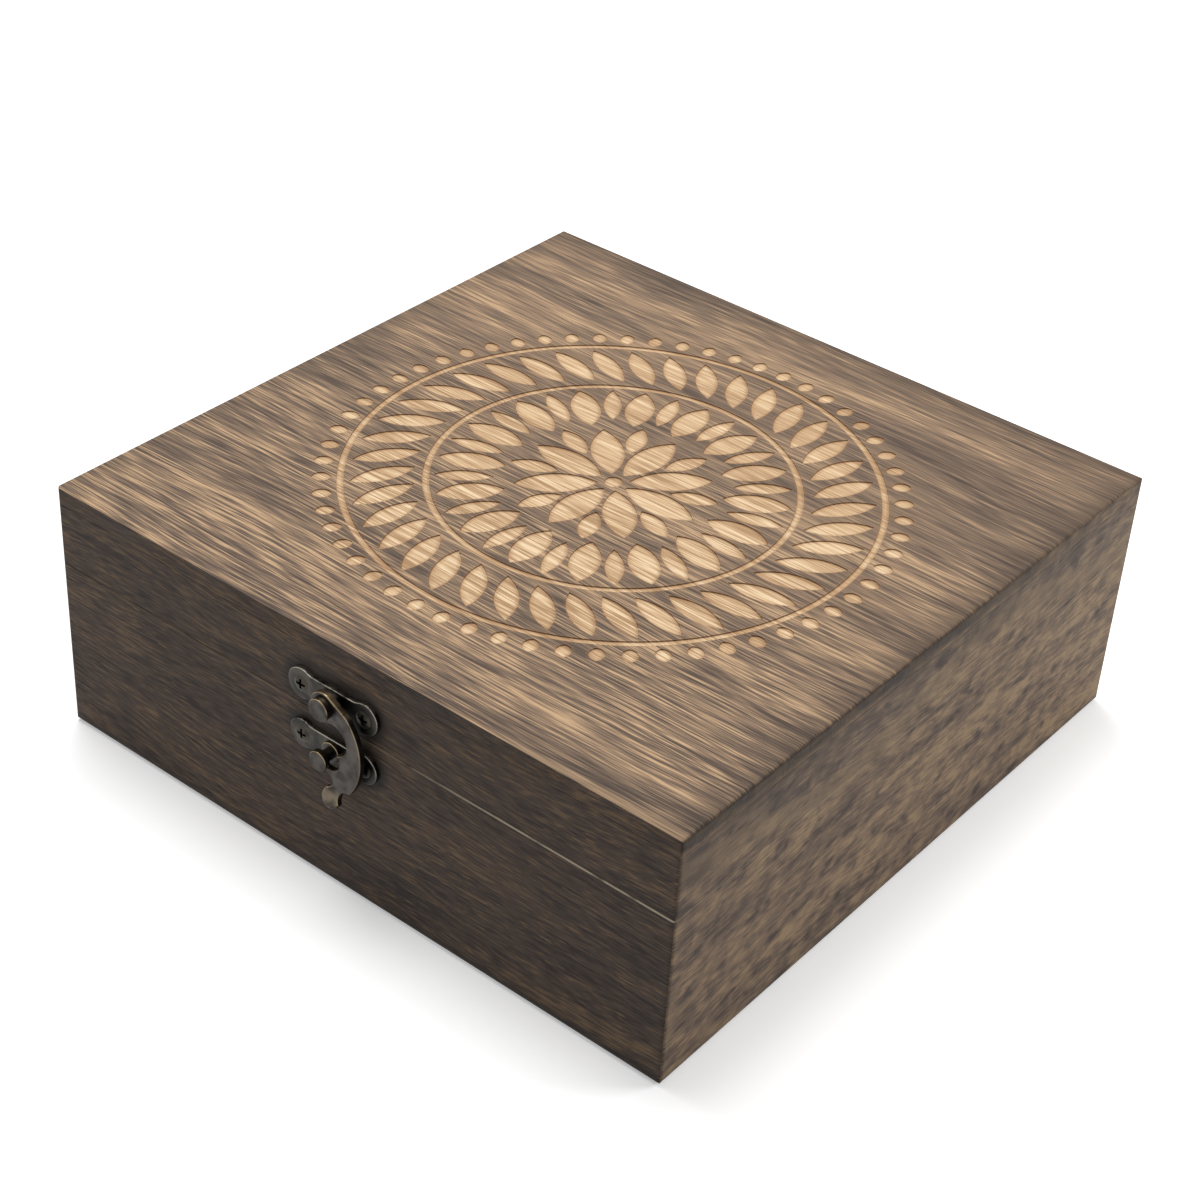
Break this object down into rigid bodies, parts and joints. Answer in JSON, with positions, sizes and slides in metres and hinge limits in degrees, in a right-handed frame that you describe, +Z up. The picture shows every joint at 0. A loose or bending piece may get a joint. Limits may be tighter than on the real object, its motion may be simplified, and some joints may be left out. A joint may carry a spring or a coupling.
{
  "type": "keepsake box",
  "caption": "Square wooden box with a hinged lid, carved rosette on the lid panel and a swing-hook latch, for papers and keepsakes.",
  "frame": {"origin": "on the surface the box stands on, under the middle of the wooden box", "axes": "+X to the right along the front, +Y from the latch side to the hinge side, +Z up"},
  "size_m": [0.2, 0.2134, 0.0745],
  "materials": {
    "lid_panel_wood": "scorched open-grain wood, light tan where it is carved",
    "board_wood": "dark scorched open-grain wood, oiled",
    "bottom_wood": "dark stained wood",
    "antique_bronze": "antique bronze plating worn at the edges",
    "bronze_screws": "dark antique bronze plating"
  },
  "bodies": {
    "base": {"base_front_board": "board_wood", "base_right_board": "board_wood", "base_back_board": "board_wood", "base_left_board": "board_wood", "bottom_panel": "bottom_wood", "catch_plate": "antique_bronze", "catch_stud": "antique_bronze", "catch_plate_screws": "bronze_screws", "hinge_left_base_leaf": "antique_bronze", "hinge_right_base_leaf": "antique_bronze", "hinge_left_pin": "antique_bronze", "hinge_right_pin": "antique_bronze", "hinge_base_screws": "bronze_screws"},
    "lid": {"lid_front_board": "board_wood", "lid_right_board": "board_wood", "lid_back_board": "board_wood", "lid_left_board": "board_wood", "lid_top_panel": "lid_panel_wood", "latch_plate": "antique_bronze", "latch_pivot_rivet": "antique_bronze", "latch_plate_screws": "bronze_screws", "hinge_left_lid_leaf": "antique_bronze", "hinge_right_lid_leaf": "antique_bronze", "hinge_lid_screws": "bronze_screws"},
    "hook": {"latch_hook": "antique_bronze"}
  },
  "joints": [
    {"name": "lid_hinge", "type": "hinge", "parent": "base", "child": "lid", "pos_m": [0, 0.1023, 0.05158], "axis": [-1, 0, 0], "range_deg": [0, 105]},
    {"name": "hook_pivot", "type": "hinge", "parent": "lid", "child": "hook", "pos_m": [-0.0026, -0.1, 0.0585], "axis": [0, -1, 0], "range_deg": [-12, 290]}
  ]
}
